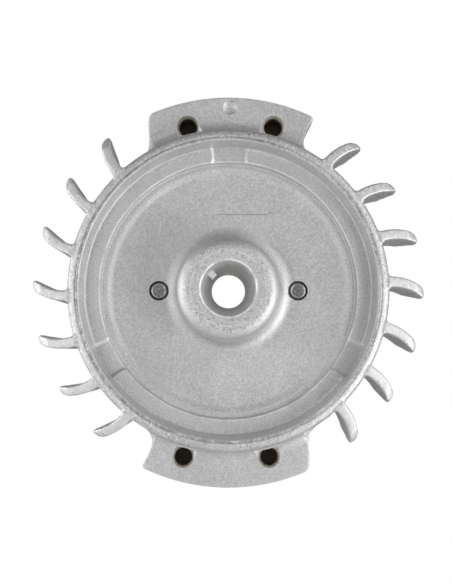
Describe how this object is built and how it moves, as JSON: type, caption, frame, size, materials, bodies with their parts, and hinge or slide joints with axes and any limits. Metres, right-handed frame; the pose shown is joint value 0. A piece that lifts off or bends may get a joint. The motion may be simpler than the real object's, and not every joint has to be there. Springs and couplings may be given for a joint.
{
  "type": "flywheel",
  "caption": "Die-cast magneto flywheel with curved fan blades, two lugs with laminated poles, a tapered keyed bore and sprung starter pawls.",
  "frame": {"origin": "on the bore's axis, in the plane of the hub's end face on the crankcase side", "axes": "+Y along the bore from the crankcase side to the rope starter side, +Z through the middle of the magnet lug, +X to the right when seen from the crankcase side"},
  "size_m": [0.098, 0.0275, 0.098],
  "materials": {
    "cast_aluminium": "tumbled die casting, matt with bright worn edges",
    "lamination_steel": "varnished electrical steel with a trace of rust",
    "magnet_ferrite": "dark sintered magnet",
    "pawl_steel": "oil-blackened sintered steel",
    "spring_steel": "bright drawn wire",
    "zinc_plated_steel": "zinc plated"
  },
  "bodies": {
    "wheel": {"flywheel_casting": "cast_aluminium", "ignition_magnet": "magnet_ferrite", "pole_left_plate_1": "lamination_steel", "pole_left_plate_2": "lamination_steel", "pole_left_plate_3": "lamination_steel", "pole_left_plate_4": "lamination_steel", "pole_left_plate_5": "lamination_steel", "pole_left_plate_6": "lamination_steel", "pole_left_plate_7": "lamination_steel", "pole_right_plate_1": "lamination_steel", "pole_right_plate_2": "lamination_steel", "pole_right_plate_3": "lamination_steel", "pole_right_plate_4": "lamination_steel", "pole_right_plate_5": "lamination_steel", "pole_right_plate_6": "lamination_steel", "pole_right_plate_7": "lamination_steel", "balance_left_plate_1": "lamination_steel", "balance_left_plate_2": "lamination_steel", "balance_left_plate_3": "lamination_steel", "balance_left_plate_4": "lamination_steel", "balance_left_plate_5": "lamination_steel", "balance_left_plate_6": "lamination_steel", "balance_left_plate_7": "lamination_steel", "balance_right_plate_1": "lamination_steel", "balance_right_plate_2": "lamination_steel", "balance_right_plate_3": "lamination_steel", "balance_right_plate_4": "lamination_steel", "balance_right_plate_5": "lamination_steel", "balance_right_plate_6": "lamination_steel", "balance_right_plate_7": "lamination_steel", "pawl_screw_left": "zinc_plated_steel", "pawl_screw_right": "zinc_plated_steel", "pawl_spring_left": "spring_steel", "pawl_spring_right": "spring_steel"},
    "pawl_left": {"pawl_left": "pawl_steel"},
    "pawl_right": {"pawl_right": "pawl_steel"}
  },
  "joints": [
    {"name": "pawl_left_pivot", "type": "hinge", "parent": "wheel", "child": "pawl_left", "pos_m": [-0.0174, 0.0217, 0], "axis": [0, 1, 0], "range_deg": [0, 32], "stiffness_Nm_per_rad": 0.0027, "springref_deg": -42.97, "deforming": ["pawl_spring_left"]},
    {"name": "pawl_right_pivot", "type": "hinge", "parent": "wheel", "child": "pawl_right", "pos_m": [0.0174, 0.0217, 0], "axis": [0, 1, 0], "range_deg": [0, 32], "stiffness_Nm_per_rad": 0.0027, "springref_deg": -42.97, "deforming": ["pawl_spring_right"]}
  ]
}
